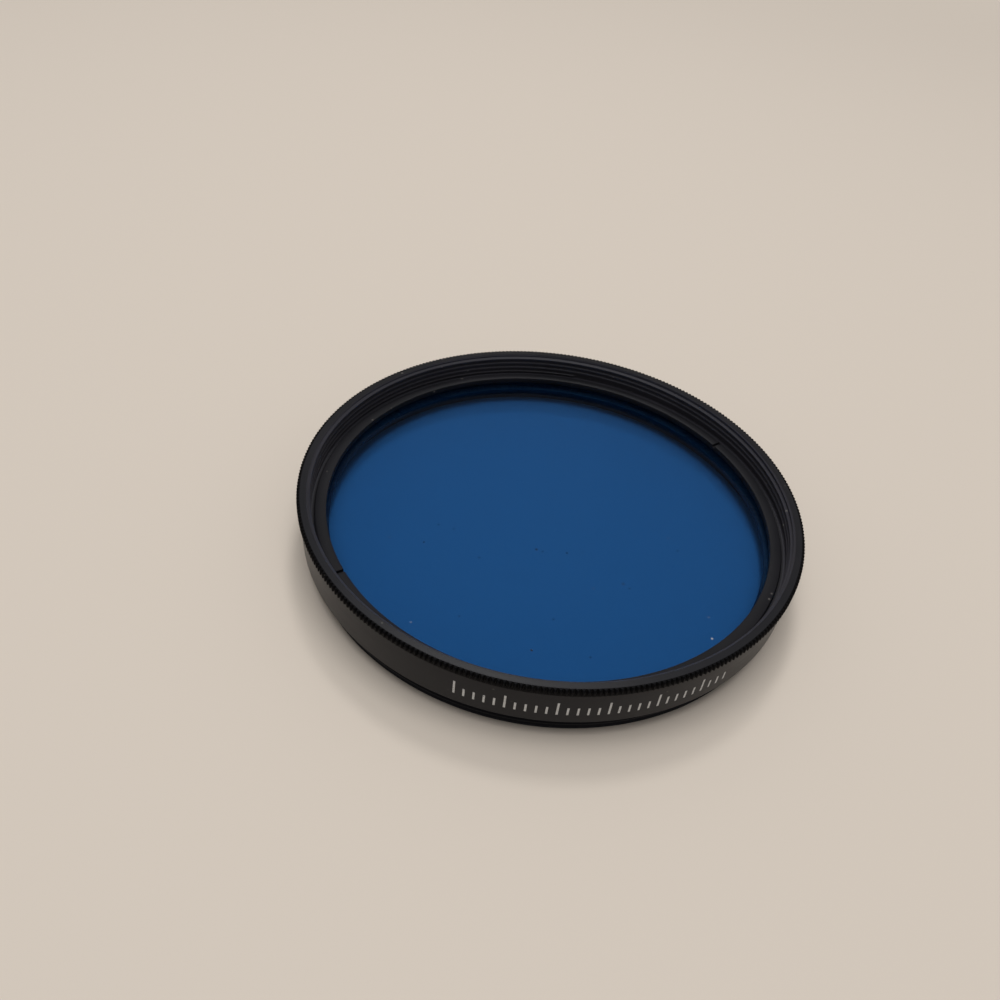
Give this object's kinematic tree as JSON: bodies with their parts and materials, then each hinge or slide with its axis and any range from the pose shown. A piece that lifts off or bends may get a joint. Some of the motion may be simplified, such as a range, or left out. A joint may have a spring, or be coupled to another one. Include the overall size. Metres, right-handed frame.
{
  "type": "color conversion filter",
  "caption": "Round screw-in camera filter: a blue glass disc in a thin black knurled mount with a thread on both ends, held by a slotted retaining ring.",
  "frame": {"origin": "centre of the rear end of the male thread's skirt, on the surface that the filter lies on", "axes": "+Z along the optical axis, from the rear (male thread) to the front (female thread); the front side of the picture faces -Y"},
  "size_m": [0.0644, 0.0644, 0.0086],
  "materials": {
    "mount_black": "black anodised, satin",
    "blue_glass": "mass-dyed blue, polished",
    "ring_black": "black anodised, satin"
  },
  "bodies": {
    "root": {"mount_ring": "mount_black", "filter_glass": "blue_glass", "retaining_ring": "ring_black"}
  },
  "joints": []
}
